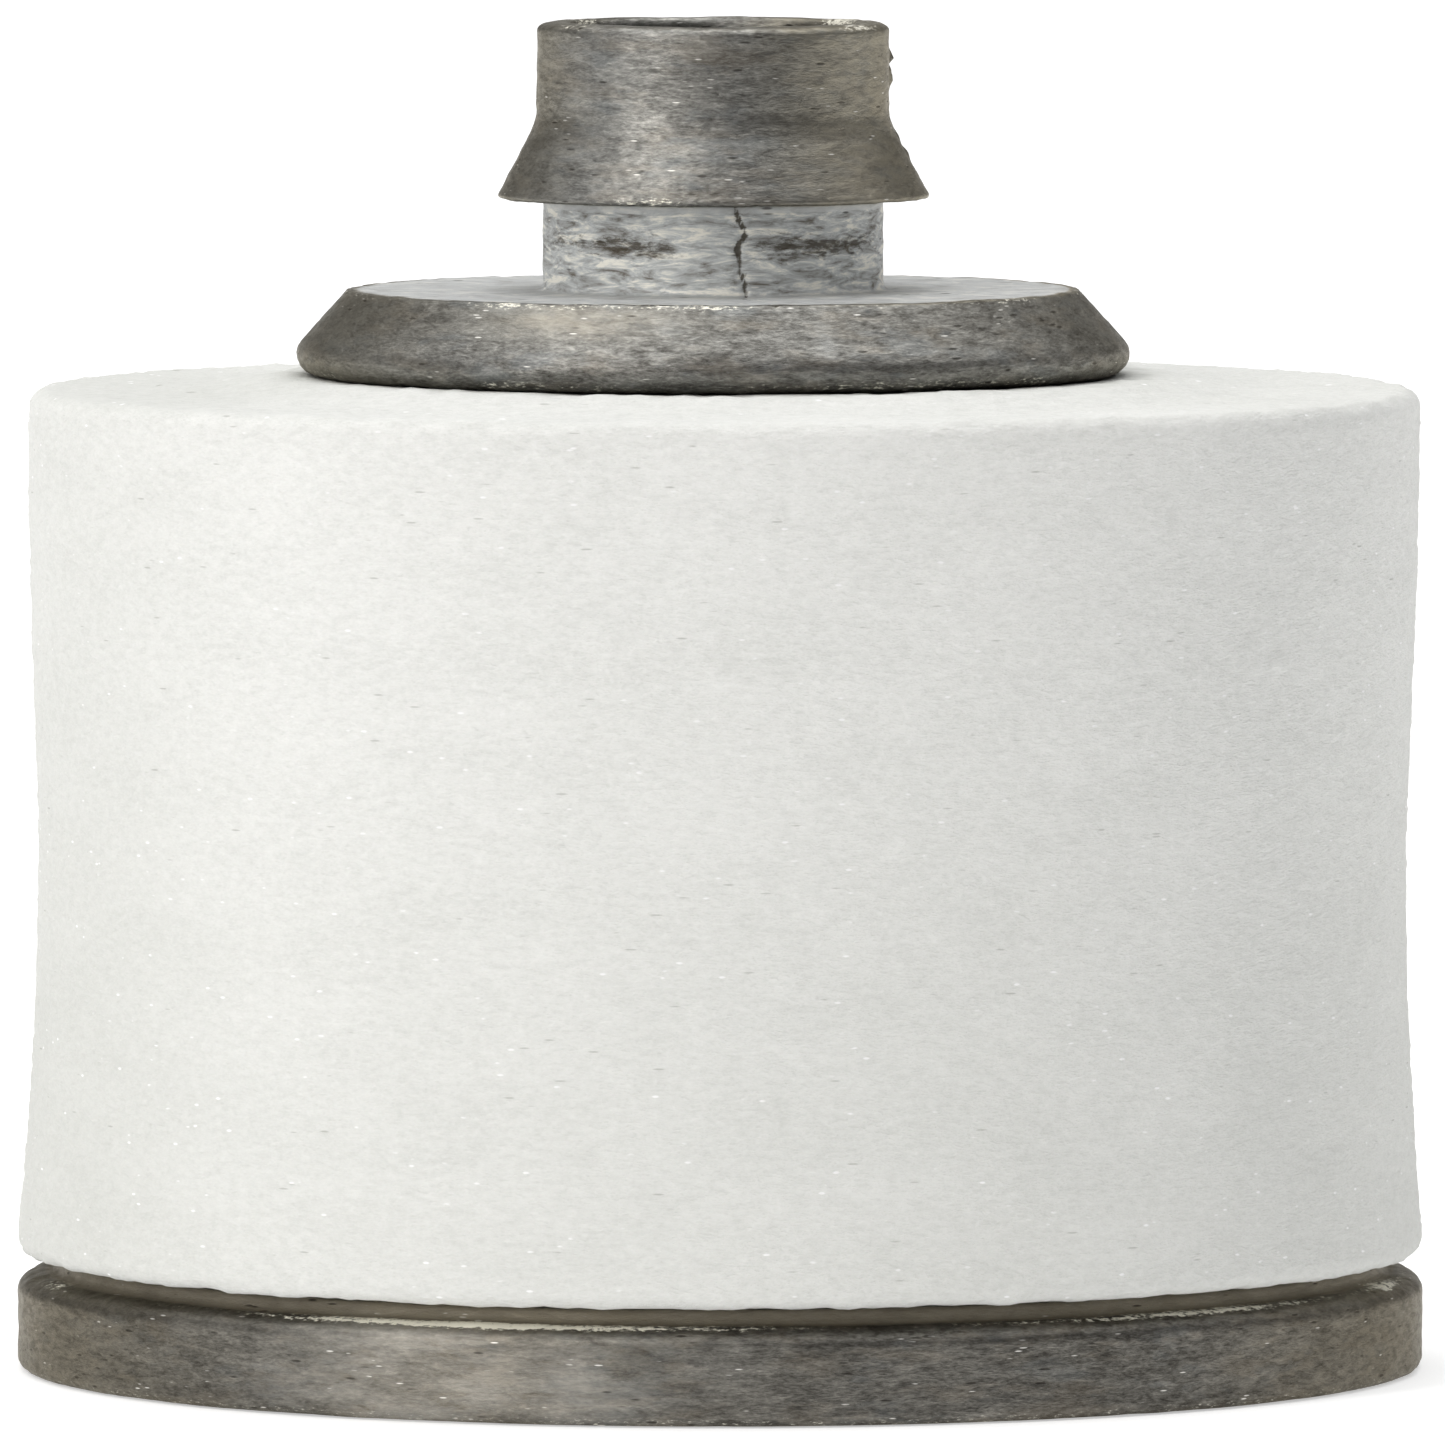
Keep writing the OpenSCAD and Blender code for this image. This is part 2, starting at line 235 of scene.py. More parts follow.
class Nodes:
    """Short calls for one material's nodes. A number or colour is set on the socket itself."""

    def __init__(self, name):
        self.material = bpy.data.materials.new(name)
        self.material.use_nodes = True
        self.tree = self.material.node_tree
        self.shader = self.tree.nodes["Principled BSDF"]
        place = self.new("ShaderNodeTexCoord")
        self.mm = self.scaled(place.outputs["Object"], (1000, 1000, 1000))

    def new(self, kind, **settings):
        node = self.tree.nodes.new(kind)
        for key, value in settings.items():
            setattr(node, key, value)
        return node

    def put(self, socket, value):
        """Links a socket to another's output, or sets its own value."""
        if isinstance(value, bpy.types.NodeSocket):
            self.tree.links.new(value, socket)
        elif isinstance(value, tuple) and len(value) == 3 and socket.type == "RGBA":
            socket.default_value = (*value, 1)
        else:
            socket.default_value = value

    def scaled(self, vector, factors):
        node = self.new("ShaderNodeVectorMath", operation="MULTIPLY")
        self.put(node.inputs[0], vector)
        self.put(node.inputs[1], factors)
        return node.outputs[0]

    def math(self, operation, a, b):
        node = self.new("ShaderNodeMath", operation=operation)
        for socket, value in zip(node.inputs, (a, b)):
            self.put(socket, value)
        return node.outputs[0]

    def noise(self, vector, scale, detail=2.0, roughness=0.5, distortion=0.0):
        node = self.new("ShaderNodeTexNoise")
        self.put(node.inputs["Vector"], vector)
        for key, value in (("Scale", scale), ("Detail", detail), ("Roughness", roughness),
                           ("Distortion", distortion)):
            self.put(node.inputs[key], value)
        return node.outputs["Fac"]

    def cells(self, vector, scale):
        """Distance to the nearest of scattered points."""
        node = self.new("ShaderNodeTexVoronoi", feature="F1")
        self.put(node.inputs["Vector"], vector)
        self.put(node.inputs["Scale"], scale)
        return node.outputs["Distance"]

    def step(self, value, low, high, out_low=0.0, out_high=1.0):
        """out_low below low, out_high above high, smooth between."""
        node = self.new("ShaderNodeMapRange", interpolation_type="SMOOTHSTEP")
        for key, v in zip(("Value", "From Min", "From Max", "To Min", "To Max"),
                          (value, low, high, out_low, out_high)):
            self.put(node.inputs[key], v)
        return node.outputs["Result"]

    def ramp(self, value, *stops):
        node = self.new("ShaderNodeValToRGB")
        self.put(node.inputs[0], value)
        elements = node.color_ramp.elements
        while len(elements) < len(stops):
            elements.new(0.5)
        for element, (position, colour) in zip(elements, stops):
            element.position = position
            element.color = (*colour, 1)
        return node.outputs[0]

    def mix(self, factor, a, b, blend="MIX"):
        """Colour a, going over to b as factor rises. Inputs 6 and 7 and output 2 are the colours."""
        node = self.new("ShaderNodeMix", data_type="RGBA", blend_type=blend)
        self.put(node.inputs[0], factor)
        self.put(node.inputs[6], a)
        self.put(node.inputs[7], b)
        return node.outputs[2]

    def finish_masks(self):
        """The mesh's four masks: worn edges with painted highlights, chalk with painted highlights,
        dirt with painted shade, and warmth.
        """
        layer = self.new("ShaderNodeVertexColor", layer_name="finish")
        split = self.new("ShaderNodeSeparateColor")
        self.put(split.inputs[0], layer.outputs["Color"])
        return split.outputs[0], split.outputs[1], split.outputs[2], layer.outputs["Alpha"]

    def bump(self, height, depth_mm, strength=1.0, below=None):
        node = self.new("ShaderNodeBump")
        self.put(node.inputs["Height"], height)
        self.put(node.inputs["Distance"], depth_mm * MM)
        self.put(node.inputs["Strength"], strength)
        if below is not None:
            self.put(node.inputs["Normal"], below)
        return node.outputs[0]

    def set(self, **sockets):
        """Fills the shader's inputs, and gives back the material."""
        for key, value in sockets.items():
            self.put(self.shader.inputs[key.replace("_", " ")], value)
        return self.material


# ---------------------------------------------------------------- materials


def zinc_material(name, shade):
    """Dull cast zinc. shade darkens the bare metal: a painted shade, for the disc's darker copy."""
    n = Nodes(name)
    streaked = n.scaled(n.mm, (1, 1, 3.6))
    wear_and_highlight, pale_and_sheen, grime_and_shade, warm = n.finish_masks()
    patches = n.noise(streaked, 0.5, 3, 0.55)
    streaks = n.noise(streaked, 2.4, 8, 0.72, distortion=0.3)
    grain = n.noise(streaked, 9, 3, 0.65)
    tone = n.math("ADD", n.math("MULTIPLY", patches, 0.2),
                  n.math("ADD", n.math("MULTIPLY", streaks, 0.5), n.math("MULTIPLY", grain, 0.3)))
    colour = n.ramp(tone, (0.36, (0.058, 0.055, 0.05)), (0.45, (0.145, 0.141, 0.13)),
                    (0.51, (0.22, 0.217, 0.202)), (0.57, (0.315, 0.31, 0.288)),
                    (0.66, (0.48, 0.47, 0.435)))
    brown = n.step(n.noise(streaked, 0.6, 4, 0.65), 0.5, 0.62)
    colour = n.mix(n.math("MULTIPLY", brown, 0.25), colour, (0.2, 0.165, 0.12))
    blue = n.step(n.noise(n.scaled(streaked, (1.3, 1.3, 1.1)), 0.55, 4, 0.65), 0.53, 0.64)
    colour = n.mix(n.math("MULTIPLY", blue, 0.25), colour, (0.22, 0.245, 0.26))
    warmed = n.math("MULTIPLY", warm, n.step(streaks, 0.35, 0.65, 0.35, 0.85))
    colour = n.mix(warmed, colour, (0.3, 0.275, 0.215))
    colour = n.mix(1.0, colour, shade, blend="MULTIPLY")
    # chalky oxide: streaked on the neck, calmer on the flange's top, earthy where it is warm and thin
    layers = n.noise(n.scaled(n.mm, (1, 1, 4.5)), 1.5, 7, 0.66, distortion=0.5)
    chalk = n.ramp(layers, (0.34, (0.17, 0.155, 0.13)), (0.42, (0.4, 0.405, 0.4)),
                   (0.51, (0.59, 0.615, 0.62)), (0.62, (0.97, 0.95, 0.87)))
    calm = n.math("MULTIPLY", n.step(pale_and_sheen, 0.4, 0.6), n.step(pale_and_sheen, 0.9, 0.99, 0.6, 0.0))
    chalk = n.mix(calm, chalk, (0.66, 0.675, 0.68))
    earthy = n.math("MULTIPLY", warm, n.step(pale_and_sheen, 0.3, 0.6, 1.0, 0.0))
    chalk = n.mix(earthy, chalk, (0.64, 0.56, 0.44))
    colour = n.mix(pale_and_sheen, colour, chalk)
    # small bright knocks and dark pits
    spark = n.math("MULTIPLY", n.step(n.cells(n.scaled(streaked, (0.8, 0.8, 1.4)), 2.6), 0.19, 0.09),
                   n.step(n.noise(streaked, 0.9, 2), 0.56, 0.62))
    colour = n.mix(n.math("MULTIPLY", spark, 0.8), colour, (0.9, 0.88, 0.83))
    pit = n.math("MULTIPLY", n.step(n.cells(n.scaled(streaked, (0.9, 0.9, 1.2)), 1.7), 0.2, 0.08),
                 n.step(n.noise(streaked, 0.7, 2), 0.48, 0.6))
    colour = n.mix(n.math("MULTIPLY", pit, 0.75), colour, (0.03, 0.026, 0.022))
    # the masks' edges are broken up by the grain
    rubbed_and_highlit = n.step(n.math("ADD", wear_and_highlight, n.math("MULTIPLY", grain, 1.6)), 1.05, 1.35)
    rubbed_and_highlit = n.math("MULTIPLY", rubbed_and_highlit, n.step(wear_and_highlight, 0.02, 0.2))
    # bare metal where edges are worn, and painted highlights on the rims and lit edges
    colour = n.mix(rubbed_and_highlit, colour, (0.96, 0.93, 0.8))
    # dark dirt in the seam and the neck's blotches, darker down the bore, and painted shade below the
    # crest and beneath the flange
    stain = n.step(n.math("ADD", grime_and_shade, n.math("MULTIPLY", streaks, 1.8)), 1.15, 1.55)
    stain = n.math("MULTIPLY", stain, n.step(grime_and_shade, 0.02, 0.15))
    colour = n.mix(n.math("MULTIPLY", stain, 0.9), colour, (0.065, 0.053, 0.037))
    roughness = n.step(streaks, 0.36, 0.64, 0.39, 0.28)
    roughness = n.math("ADD", roughness, n.math("MULTIPLY", n.math("ADD", pale_and_sheen, stain), 0.15))
    metallic = n.math("SUBTRACT", 1.0, n.math("MULTIPLY", n.math("MAXIMUM", pale_and_sheen, rubbed_and_highlit), 0.75))
    coarse = n.bump(n.math("ADD", streaks, n.math("MULTIPLY", pit, -0.4)), 0.03, 0.7)
    fine = n.bump(grain, 0.008, 0.5, coarse)
    return n.set(Base_Color=colour, Roughness=roughness, Metallic=metallic,
                 Specular_Tint=(0.65, 0.62, 0.56), Normal=fine)


def porous_material():
    """White grains bonded together. The mesh's first mask holds its painted shade."""
    n = Nodes("porous_white")
    flat = n.scaled(n.mm, (1, 1, 2.8))
    soft = n.noise(flat, 0.3, 3, 0.5)
    grain = n.noise(flat, 3.4, 5, 0.7)
    fine = n.noise(flat, 11, 2, 0.6)
    tone = n.math("ADD", n.math("MULTIPLY", soft, 0.2),
                  n.math("ADD", n.math("MULTIPLY", grain, 0.5), n.math("MULTIPLY", fine, 0.3)))
    colour = n.ramp(tone, (0.36, (0.76, 0.767, 0.742)), (0.5, (0.85, 0.854, 0.832)),
                    (0.62, (0.91, 0.912, 0.892)))
    # the first mask is painted shade: darker towards the foot, on the sides and top, and round the
    # flange
    painted_shade = n.finish_masks()[0]
    colour = n.mix(n.math("MULTIPLY", painted_shade, 0.22), colour, (0.45, 0.46, 0.42))
    glint = n.math("MULTIPLY", n.step(n.cells(flat, 1.9), 0.15, 0.06),
                   n.step(n.noise(flat, 1.1, 1), 0.5, 0.58))
    colour = n.mix(glint, colour, (1.0, 1.0, 1.0))
    hole = n.math("MULTIPLY", n.step(n.cells(n.scaled(flat, (0.6, 0.6, 1.5)), 1.5), 0.12, 0.05),
                  n.step(n.noise(flat, 0.8, 1), 0.52, 0.58))
    colour = n.mix(n.math("MULTIPLY", hole, 0.5), colour, (0.36, 0.36, 0.33))
    height = n.math("ADD", grain, n.math("MULTIPLY", fine, 0.5))
    return n.set(Base_Color=colour, Roughness=0.9, Specular_IOR_Level=0.25,
                 Normal=n.bump(height, 0.05, 0.8))


def seal_material(name, dark, light):
    """Dull rubber, between two shades."""
    n = Nodes(name)
    grain = n.noise(n.mm, 5, 5, 0.7)
    colour = n.ramp(grain, (0.35, dark), (0.65, light))
    return n.set(Base_Color=colour, Roughness=n.step(grain, 0.3, 0.7, 0.9, 0.7),
                 Normal=n.bump(grain, 0.02, 0.5))


def steel_material(name, dark, light, roughness):
    """Bright steel with fine level marks, between two shades."""
    n = Nodes(name)
    lines = n.noise(n.scaled(n.mm, (1, 1, 14)), 2.5, 3, 0.6)
    stain = n.noise(n.mm, 0.8, 4, 0.6)
    tone = n.math("ADD", n.math("MULTIPLY", lines, 0.4), n.math("MULTIPLY", stain, 0.6))
    colour = n.ramp(tone, (0.38, dark), (0.6, light))
    return n.set(Base_Color=colour, Metallic=0.95, Normal=n.bump(lines, 0.008, 0.4),
                 Roughness=n.step(tone, 0.35, 0.65, roughness + 0.12, roughness))


def floor_material():
    """White sweep paper, lit a little from below round and behind the object, as on a light table."""
    n = Nodes("studio_floor")
    paper = n.noise(n.mm, 0.02, 3, 0.5)
    place = n.new("ShaderNodeSeparateXYZ")
    n.put(place.inputs[0], n.mm)
    away = n.new("ShaderNodeVectorMath", operation="LENGTH")
    n.put(away.inputs[0], n.mm)
    glow = n.math("MAXIMUM", n.step(place.outputs[1], *GLOW_EDGE_Y),
                  n.step(away.outputs["Value"], *GLOW_FAR))
    glow = n.math("MULTIPLY", glow, TABLE_GLOW)
    return n.set(Base_Color=n.ramp(paper, (0.3, (0.74, 0.74, 0.74)), (0.7, (0.76, 0.76, 0.76))),
                 Roughness=0.9, Specular_IOR_Level=0.2,
                 Emission_Color=(1.0, 1.0, 1.0), Emission_Strength=glow)


# ---------------------------------------------------------------- the barbed head


def head_profile():
    """The head's outline, from the bore's floor over the barb, neck and flange to the screw's hole."""
    rim_w, rim_h, mouth, crest_edge = 0.25, 0.14, 0.12, 0.06
    flange_edge, top_edge, fillet, slope = 0.35, 0.1, 0.12, 41
    edge_r, edge_z = FLANGE_R - flange_edge, FLANGE_Z + flange_edge
    skirt_low_r = edge_r + flange_edge * math.cos(math.radians(slope))
    skirt_low_z = edge_z + flange_edge * math.sin(math.radians(slope))
    skirt_top_r = skirt_low_r - (FLANGE_TOP_Z - skirt_low_z) * math.tan(math.radians(slope))
    spigot_h = 1
    fine, hidden = 0.1, 0.6
    rim = [(NOSE_R - rim_w + rim_w * math.cos(t), HEAD_Z1 - rim_h + rim_h * math.sin(t))
           for t in np.linspace(math.pi / 2, 0, 7)]
    return runs(
        ([(0, BORE_FLOOR_Z), (1.2, BORE_FLOOR_Z), (BORE_R, BORE_FLOOR_Z)], hidden),
        ([(BORE_R, WINDOW_Z1 + 1)], hidden),
        ([(BORE_R, HEAD_Z1 - 1.2)], 0.4),
        ([(BORE_R, HEAD_Z1 - mouth)], 0.12),
        (arc(BORE_R + mouth, HEAD_Z1 - mouth, mouth, 180, 90, 3), fine),
        (rim, 0.05),
        ([(NOSE_R, NOSE_Z + 0.22), (NOSE_R + 0.012, NOSE_Z + 0.1), (NOSE_R + 0.05, NOSE_Z - 0.02),
          (NOSE_R + 0.115, NOSE_Z - 0.2)], fine),
        (arc(CREST_R - crest_edge, CREST_Z + crest_edge, crest_edge, 30, -90, 4), 0.05),
        ([(NECK_R + 0.06, CREST_Z), (NECK_R, CREST_Z - 0.06)], fine),
        ([(NECK_R, FLANGE_TOP_Z + fillet)], fine),
        (arc(NECK_R + fillet, FLANGE_TOP_Z + fillet, fillet, 180, 270, 3), fine),
        ([(skirt_top_r - top_edge, FLANGE_TOP_Z)], 0.13),
        ([(skirt_top_r - 0.02, FLANGE_TOP_Z - 0.01), (skirt_top_r + 0.03, FLANGE_TOP_Z - 0.06)], 0.05),
        (arc(edge_r, edge_z, flange_edge, slope, -90, 7), fine),
        ([(RECESS_R, FLANGE_Z)], 0.25),
        ([(RECESS_R, HEAD_RECESS_Z), (SPIGOT_R, HEAD_RECESS_Z)], hidden),
        ([(SPIGOT_R, FLANGE_Z - spigot_h), (STEM_R, FLANGE_Z - spigot_h)], hidden),
        ([(STEM_R, STEM_FOOT_Z), (SCREW_HOLE_R, STEM_FOOT_Z)], hidden),
        ([(SCREW_HOLE_R, SCREW_HOLE_Z), (0, SCREW_HOLE_Z)], hidden),
    )[::-1]


def head_shape(points, a, r, z, nr, nz):
    """How the casting differs from a true turning, with its four masks: worn edges with painted
    highlights, chalk with a painted highlight on the skirt, dirt with painted shade below the crest
    and the flange, and warmth.
    """
    outer = smooth(z, FLANGE_Z - 0.4, FLANGE_Z) * (r > BORE_R + 0.05)
    push = outer * layered(points, (0.008, (1.6, 1.6, 0.8), 11), (0.009, (0.5, 0.5, 0.2), 12),
                           (0.008, (0.22, 0.22, 0.11), 13))
    # the parting line: a broken, wandering groove down the neck and flange's top, front and back
    down = np.stack([z + r, z * 0, a * 0], 1)
    wander = layered(down, (0.035, (0.32, 1, 1), 14), (0.014, (0.11, 1, 1), 17))
    broken = 0.6 + 0.4 * smooth(noise(down, (0.16, 1, 1), 18), -0.4, 0.3)
    seam = np.zeros(len(a))
    for half in (0, math.pi):
        off = np.abs(turn_from(a, SEAM_ANGLE + half) + wander) * r
        seam = np.maximum(seam, bell(off, 0, 0.046) * broken)
    seam *= (z > FLANGE_TOP_Z - 0.03) * (z < CREST_Z + 0.01)
    push -= 0.04 * seam * outer
    # flash left by the mould on the barb's right and left sides
    for angle, at_z, size, width, tall in (
            (0.06, 22.36, 0.10, 0.05, 0.07), (0.04, 21.98, 0.07, 0.06, 0.12),
            (0.02, 22.14, 0.04, 0.05, 0.06), (0.05, 21.02, 0.04, 0.06, 0.12),
            (0.0, 20.72, 0.04, 0.06, 0.1), (3.2, 21.7, 0.02, 0.05, 0.3)):
        spread = np.abs(turn_from(a, angle)) * r
        push += size * bell(spread, 0, width) * bell(z, at_z, tall) * (nr > 0.2) * outer
    # nicked and worn edges, with painted highlights on the rim's left and right, and brighter where
    # the key light falls on the crest and the flange's edge
    crest = bell(z, CREST_Z + 0.06, 0.09) * smooth(r, NECK_R + 0.4, CREST_R - 0.05)
    rim = bell(z, HEAD_Z1 - 0.04, 0.08)
    flange_edge = bell(z, FLANGE_TOP_Z - 0.03, 0.06) * smooth(r, 5.7, 6.1)
    flange_foot = bell(z, FLANGE_Z + 0.1, 0.09) * smooth(r, 6.6, 6.95)
    around = np.stack([np.cos(a) * r, np.sin(a) * r, z * 0], 1)
    nicks = np.clip(noise(around, (0.5, 0.5, 1), 15) - 0.25, 0, 1)
    push -= 0.03 * nicks * (crest + flange_edge + 0.6 * flange_foot) * outer
    patch = 0.5 + 0.5 * noise(points, (0.9, 0.9, 0.4), 16)
    lit = bell(turn_from(a, SEAM_ANGLE - 0.5), 0, 0.35)
    side = np.cos(a)                    # -1 on the left, 1 on the right
    # the rim's left and right, and the lit parts of the crest and flange edge, carry painted
    # highlights
    wear_and_highlight = np.clip((0.1 + 0.25 * lit) * crest * patch
                   + (0.05 + 0.85 * bell(np.abs(side), 0.88, 0.12)) * rim * patch
                   + (0.3 + 0.35 * lit) * flange_edge * patch + 0.35 * flange_foot * patch, 0, 1)
    # chalk on the neck and the flange's top, with a smear down the skirt
    neck = (r < NECK_R + 0.1) * smooth(z, FLANGE_TOP_Z, FLANGE_TOP_Z + 0.1)
    neck = neck * (1 - smooth(z, CREST_Z - 0.1, CREST_Z))
    top = (np.abs(z - FLANGE_TOP_Z) < 0.1) * (r > NECK_R) * (1 - smooth(r, 6.0, 6.15))
    smear = bell(turn_from(a, SEAM_ANGLE + 0.12) * r, 0, 0.16) * (nz > -0.2)
    smear = smear * (z < FLANGE_TOP_Z - 0.25) * (z > FLANGE_Z + 0.55)
    pale_and_sheen = np.clip(neck + 0.88 * top + 0.3 * smear * patch, 0, 1) * (r > BORE_R + 0.1)
    # darker down the bore, painted shade below the crest and beneath the flange, and soot in blotches
    # half-way up the neck
    inside = (r < BORE_R + 0.05) * smooth(HEAD_Z1 - z, 0.4, 2.5)
    crest_shadow = (np.abs(z - CREST_Z) < 0.05) * (r < CREST_R - 0.05)
    blotch_z = FLANGE_TOP_Z + 0.85 + 0.3 * noise(points, (1.6, 1.6, 9), 20)
    blotch = neck * bell(z, blotch_z, 0.33) * smooth(noise(points, (1.1, 1.1, 0.4), 19), -0.7, 0.8)
    grime_and_shade = np.clip(0.95 * seam + 0.75 * inside + 0.8 * crest_shadow + 0.62 * blotch
                    + 0.2 * (z < FLANGE_Z + 0.02), 0, 1)
    # warmer metal on the right; at the skirt's upper left a warm, pale patch set where the key light's
    # highlight falls, partly a painted highlight; and a thin veil of chalk on the barb
    skirt = (z < FLANGE_TOP_Z - 0.02) * (z > FLANGE_Z)
    skirt_patch_and_highlight = skirt * bell(turn_from(a, SEAM_ANGLE - 0.55), 0, 0.3)
    skirt_patch_and_highlight = skirt_patch_and_highlight * bell(z, FLANGE_TOP_Z - 0.25, 0.3)
    warm = (smooth(side, 0.1, 0.7) * (1 - 0.9 * skirt) + 0.4 * smooth(-side, 0.6, 0.95)
            + 0.6 * skirt_patch_and_highlight)
    veil = 0.2 * facing(a, -0.8, 0.35) * (z > CREST_Z + 0.02)
    veil += 0.12 * facing(a, 0.8, 0.3) * (z > CREST_Z + 0.02) * (z < NOSE_Z)
    veil *= (r > BORE_R + 0.1) * (0.5 + 0.5 * noise(points, (0.6, 0.6, 0.25), 21))
    pale_and_sheen = np.maximum(pale_and_sheen, np.maximum(veil, 0.35 * skirt_patch_and_highlight * patch))
    # the head sits a little to the left of the stack's axis
    points[:, 0] -= 0.12 * smooth(z, FLANGE_Z - 1, FLANGE_Z)
    return push, np.stack([wear_and_highlight, pale_and_sheen, grime_and_shade * (r > 0.5), warm], 1)


def cut_windows(piece):
    """Cuts the stem's two side windows through the casting."""
    half_w, end_points = WINDOW_W / 2, 10
    low, high = WINDOW_Z0 + half_w, WINDOW_Z1 - half_w
    outline = [(sign * half_w * math.cos(t), centre + sign * half_w * math.sin(t))
               for sign, centre in ((1, high), (-1, low)) for t in np.linspace(0, math.pi, end_points)]
    verts, count = [], len(outline)
    ca, sa = math.cos(SEAM_TURN), math.sin(SEAM_TURN)
    for reach in (-STEM_R - 0.5, STEM_R + 0.5):
        verts += [((reach * ca - w * sa) * MM, (reach * sa + w * ca) * MM, z * MM) for w, z in outline]
    faces = [list(range(count))[::-1], list(range(count, 2 * count))]
    faces += [[i, (i + 1) % count, count + (i + 1) % count, count + i] for i in range(count)]
    mesh = bpy.data.meshes.new("window_tool")
    mesh.from_pydata(verts, [], faces)
    tool = bpy.data.objects.new("window_tool", mesh)
    bpy.context.scene.collection.objects.link(tool)
    cut = piece.modifiers.new("windows", "BOOLEAN")
    cut.operation, cut.solver, cut.object = "DIFFERENCE", "EXACT", tool
    depsgraph = bpy.context.evaluated_depsgraph_get()
    result = bpy.data.meshes.new_from_object(piece.evaluated_get(depsgraph))
    piece.modifiers.clear()
    piece.data = result
    bpy.data.objects.remove(tool)


# ---------------------------------------------------------------- the porous sleeve


def sleeve_radius(z):
    """The sleeve's waisted wall: widest at its foot, narrowest from 0.45 to 0.5 of its height."""
    t = (z - SLEEVE_Z0) / (SLEEVE_Z1 - SLEEVE_Z0)
    foot = SLEEVE_R + 0.04
    r = SLEEVE_WAIST_R + (foot - SLEEVE_WAIST_R) * np.clip(1 - t / 0.45, 0, 1) ** 2
    return r + (SLEEVE_TOP_R - SLEEVE_WAIST_R) * np.sin(np.pi / 2 * np.clip((t - 0.5) / 0.45, 0, 1))


def sleeve_profile():
    """The sleeve's outline, down its bore, out along its foot, up its wall and in over its top."""
    foot_edge, top_edge, fine, grain = 0.3, 0.32, 0.1, 0.12
    low, high = SLEEVE_Z0 + foot_edge, SLEEVE_TOP_Z - top_edge
    wall = [(float(sleeve_radius(z)), float(z)) for z in np.linspace(low, high, 60)]
    slope = [(SEAT_R + SEAT_SLOPE_W * (1 - t), SLEEVE_TOP_Z + SEAT_H * t * t * (3 - 2 * t))
             for t in np.linspace(0, 1, 9)]
    return runs(
        ([(SLEEVE_BORE_R, SLEEVE_Z1), (SLEEVE_BORE_R, SLEEVE_Z0)], 1.5),
        ([(10.2, SLEEVE_Z0)], 0.8),
        (arc(wall[0][0] - foot_edge, low, foot_edge, -90, 0, 6), fine),
        (wall, grain),
        (arc(wall[-1][0] - top_edge, high, top_edge, 0, 90, 5), fine),
        (slope, 0.15),
        ([(RECESS_R, SLEEVE_Z1)], 0.2),
        ([(SLEEVE_BORE_R + 0.3, SLEEVE_Z1)], 0.6),
    )


def sleeve_shape(points, a, r, z, nr, nz):
    """The sleeve's grain, and its painted shade, in the first of the four masks."""
    open_wall = smooth(r, SLEEVE_BORE_R + 0.2, RECESS_R)
    end_face = np.abs(nz) ** 2
    grain = layered(points, (0.012, (5, 5, 4), 31), (0.010, (0.8, 0.8, 0.5), 32),
                    (0.020, (0.34, 0.34, 0.17), 33), (0.018, (0.2, 0.2, 0.11), 34))
    push = open_wall * (grain + end_face * 0.02 * noise(points, (0.4, 0.4, 0.4), 35))
    # under the flange nothing stands up, but round its foot the grains are pressed up
    push = np.where((nz > 0.8) & (r < FLANGE_R + 0.1), np.minimum(push, 0), push)
    push += 0.035 * smooth(r, 6.5, 6.8) * (1 - smooth(r, 7.6, 8.2)) * (nz > 0.8)
    share = (z - SLEEVE_Z0) / (SLEEVE_Z1 - SLEEVE_Z0)
    points[:, 0] += 0.08 * share * smooth(r, 6, 11)     # the wall leans a little to the right
    # painted shade: darker towards its foot and sides and on its top, and darkest round the flange,
    # where its shadow falls
    across = np.cos(a)
    sides = 0.8 * smooth(-across, 0.6, 0.95) + 0.3 * smooth(across, 0.6, 0.95)
    flange_shadow_ring = 0.6 + 0.8 * noise(points, (0.3, 0.3, 0.3), 36)
    flange_shadow_ring = flange_shadow_ring * (1 - smooth(r, FLANGE_R, FLANGE_R + 0.9))
    upward = smooth(nz, 0.5, 0.95)
    painted_shade = np.clip(1 - smooth(share, 0.0, 1.0) + sides + upward * (0.8 + 1.6 * flange_shadow_ring), 0, 3)
    return push, np.stack([painted_shade, painted_shade * 0, painted_shade * 0, painted_shade * 0], 1)


# ---------------------------------------------------------------- the base disc


def disc_profile():
    """The disc's outline, out along its underside, up over its shoulder and in to its holes."""
    edge, shoulder_w, shoulder_h, fine, finest = 0.18, 0.55, 0.33, 0.085, 0.05
    head_r, head_z, hole_r = 3.6, 2.4, 1.6
    boss_r, boss_edge, socket_r, socket_z = 4.4, 0.15, 3.45, DISC_BOSS_Z - 0.4
    gasket_r = LAND_R - 0.35
    return runs(
        ([(head_r + 0.1, 0), (8, 0)], 0.4),
        ([(11, 0)], 0.25),
        (arc(DISC_R - edge, edge, edge, -90, 0, 5), fine),
        ([(DISC_R - shoulder_w * (1 - math.cos(t)), RIM_Z - shoulder_h * (1 - math.sin(t)))
          for t in np.linspace(0, math.pi / 2, 12)], finest),
        ([(LAND_R + 0.1, RIM_Z + 0.01), (LAND_R + 0.04, RIM_Z + 0.06), (LAND_R - 0.04, LAND_Z - 0.03),
          (LAND_R - 0.09, LAND_Z)], finest),
        ([(gasket_r, LAND_Z), (gasket_r, DISC_RECESS_Z)], 0.2),
        ([(boss_r, DISC_RECESS_Z)], 0.7),
        ([(boss_r, DISC_BOSS_Z - boss_edge), (boss_r - boss_edge, DISC_BOSS_Z)], 0.5),
        ([(socket_r, DISC_BOSS_Z)], 0.5),
        ([(socket_r, socket_z), (hole_r, socket_z), (hole_r, head_z), (head_r, head_z)], 0.5),
        ([(head_r, 0.1)], 0.4),
    )


